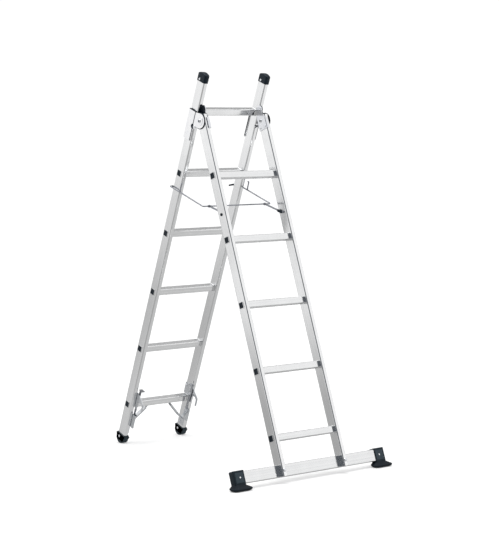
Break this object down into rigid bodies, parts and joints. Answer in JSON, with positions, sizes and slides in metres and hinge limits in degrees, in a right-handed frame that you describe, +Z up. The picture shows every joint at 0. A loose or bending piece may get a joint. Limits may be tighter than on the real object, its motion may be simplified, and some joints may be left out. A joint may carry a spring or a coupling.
{
  "type": "combination ladder",
  "caption": "Aluminium combination ladder standing open as an A-frame on a wide crossbar, with a sliding rear section, hinge guides, rung hooks with latches and a folding spreader.",
  "frame": {"origin": "middle of the open ladder's footprint, on the floor", "axes": "+Z up, +Y from the climbing side to the supporting section, +X along the rungs"},
  "size_m": [0.862, 1.1852, 1.6589],
  "materials": {
    "stile_aluminium": "brushed, clear anodised",
    "rung_aluminium": "extruded, grooved treads",
    "crossbar_aluminium": "brushed",
    "plate_steel": "zinc plated",
    "spreader_steel": "zinc plated wire",
    "fastener_steel": "zinc plated",
    "black_plastic": "fine grain",
    "black_rubber": "matt"
  },
  "bodies": {
    "front_section": {"front_left_stile": "stile_aluminium", "front_right_stile": "stile_aluminium", "front_rung_1": "rung_aluminium", "front_rung_2": "rung_aluminium", "front_rung_3": "rung_aluminium", "front_rung_4": "rung_aluminium", "front_rung_5": "rung_aluminium", "front_rung_plugs": "black_plastic", "stop_cap_left": "black_plastic", "stop_cap_right": "black_plastic", "hinge_plate_left": "plate_steel", "hinge_plate_right": "plate_steel", "hinge_plate_rivets": "fastener_steel", "hinge_spacers": "black_plastic", "hinge_bolts": "fastener_steel", "hinge_nuts": "fastener_steel", "crossbar": "crossbar_aluminium", "crossbar_bolts": "fastener_steel", "crossbar_nuts": "fastener_steel", "crossbar_foot_left": "black_rubber", "crossbar_foot_right": "black_rubber", "crossbar_foot_screws": "fastener_steel", "spreader_bolts": "fastener_steel", "spreader_bolt_caps": "black_plastic", "spreader_washers": "fastener_steel"},
    "guides": {"guide_bracket_left": "plate_steel", "guide_bracket_right": "plate_steel", "guide_pads": "black_plastic", "guide_buttons": "black_plastic", "guide_pins": "fastener_steel"},
    "rear_section": {"rear_left_stile": "stile_aluminium", "rear_right_stile": "stile_aluminium", "rear_rung_1": "rung_aluminium", "rear_rung_2": "rung_aluminium", "rear_rung_3": "rung_aluminium", "rear_rung_4": "rung_aluminium", "rear_rung_5": "rung_aluminium", "rear_rung_6": "rung_aluminium", "rear_rung_plugs": "black_plastic", "top_cap_left": "black_plastic", "top_cap_right": "black_plastic", "rear_foot_left": "black_rubber", "rear_foot_right": "black_rubber", "cap_rivets": "fastener_steel", "hook_plate_left": "plate_steel", "hook_plate_right": "plate_steel", "hook_tabs": "plate_steel", "hook_rivets": "fastener_steel", "latch_pins": "fastener_steel", "brace_left": "plate_steel", "brace_right": "plate_steel", "brace_rivets": "fastener_steel"},
    "left_latch": {"latch_left": "plate_steel"},
    "right_latch": {"latch_right": "plate_steel"},
    "spreader_links": {"spreader_link_left": "spreader_steel", "spreader_link_right": "spreader_steel"},
    "spreader_bail": {"spreader_cross_rod": "spreader_steel", "spreader_leg_left": "spreader_steel", "spreader_leg_right": "spreader_steel", "spreader_collars": "fastener_steel"}
  },
  "joints": [
    {"name": "section_fold", "type": "hinge", "parent": "front_section", "child": "guides", "pos_m": [0, -0.03937, 1.45406], "axis": [-1, 0, 0], "range_deg": [0, 38.5]},
    {"name": "section_slide", "type": "slide", "parent": "guides", "child": "rear_section", "axis": [0, -0.3551, 0.9348], "range_m": [0, 0.885]},
    {"name": "left_latch_swing", "type": "hinge", "parent": "rear_section", "child": "left_latch", "pos_m": [-0.1461, 0.46314, 0.20725], "axis": [1, 0, 0], "range_deg": [0, 8]},
    {"name": "right_latch_swing", "type": "hinge", "parent": "rear_section", "child": "right_latch", "pos_m": [0.1461, 0.46314, 0.20725], "axis": [1, 0, 0], "range_deg": [0, 8]},
    {"name": "spreader_link_fold", "type": "hinge", "parent": "front_section", "child": "spreader_links", "pos_m": [0, -0.18182, 1.06854], "axis": [1, 0, 0], "range_deg": [0, 36.58]},
    {"name": "spreader_bail_fold", "type": "hinge", "parent": "spreader_links", "child": "spreader_bail", "pos_m": [0, -0.06738, 1.09813], "axis": [1, 0, 0], "range_deg": [0, 1.54]}
  ],
  "couplings": [
    {"joint": "spreader_link_fold", "follows": "section_fold", "ratio": 0.95},
    {"joint": "spreader_bail_fold", "follows": "section_fold", "ratio": 0.04}
  ]
}
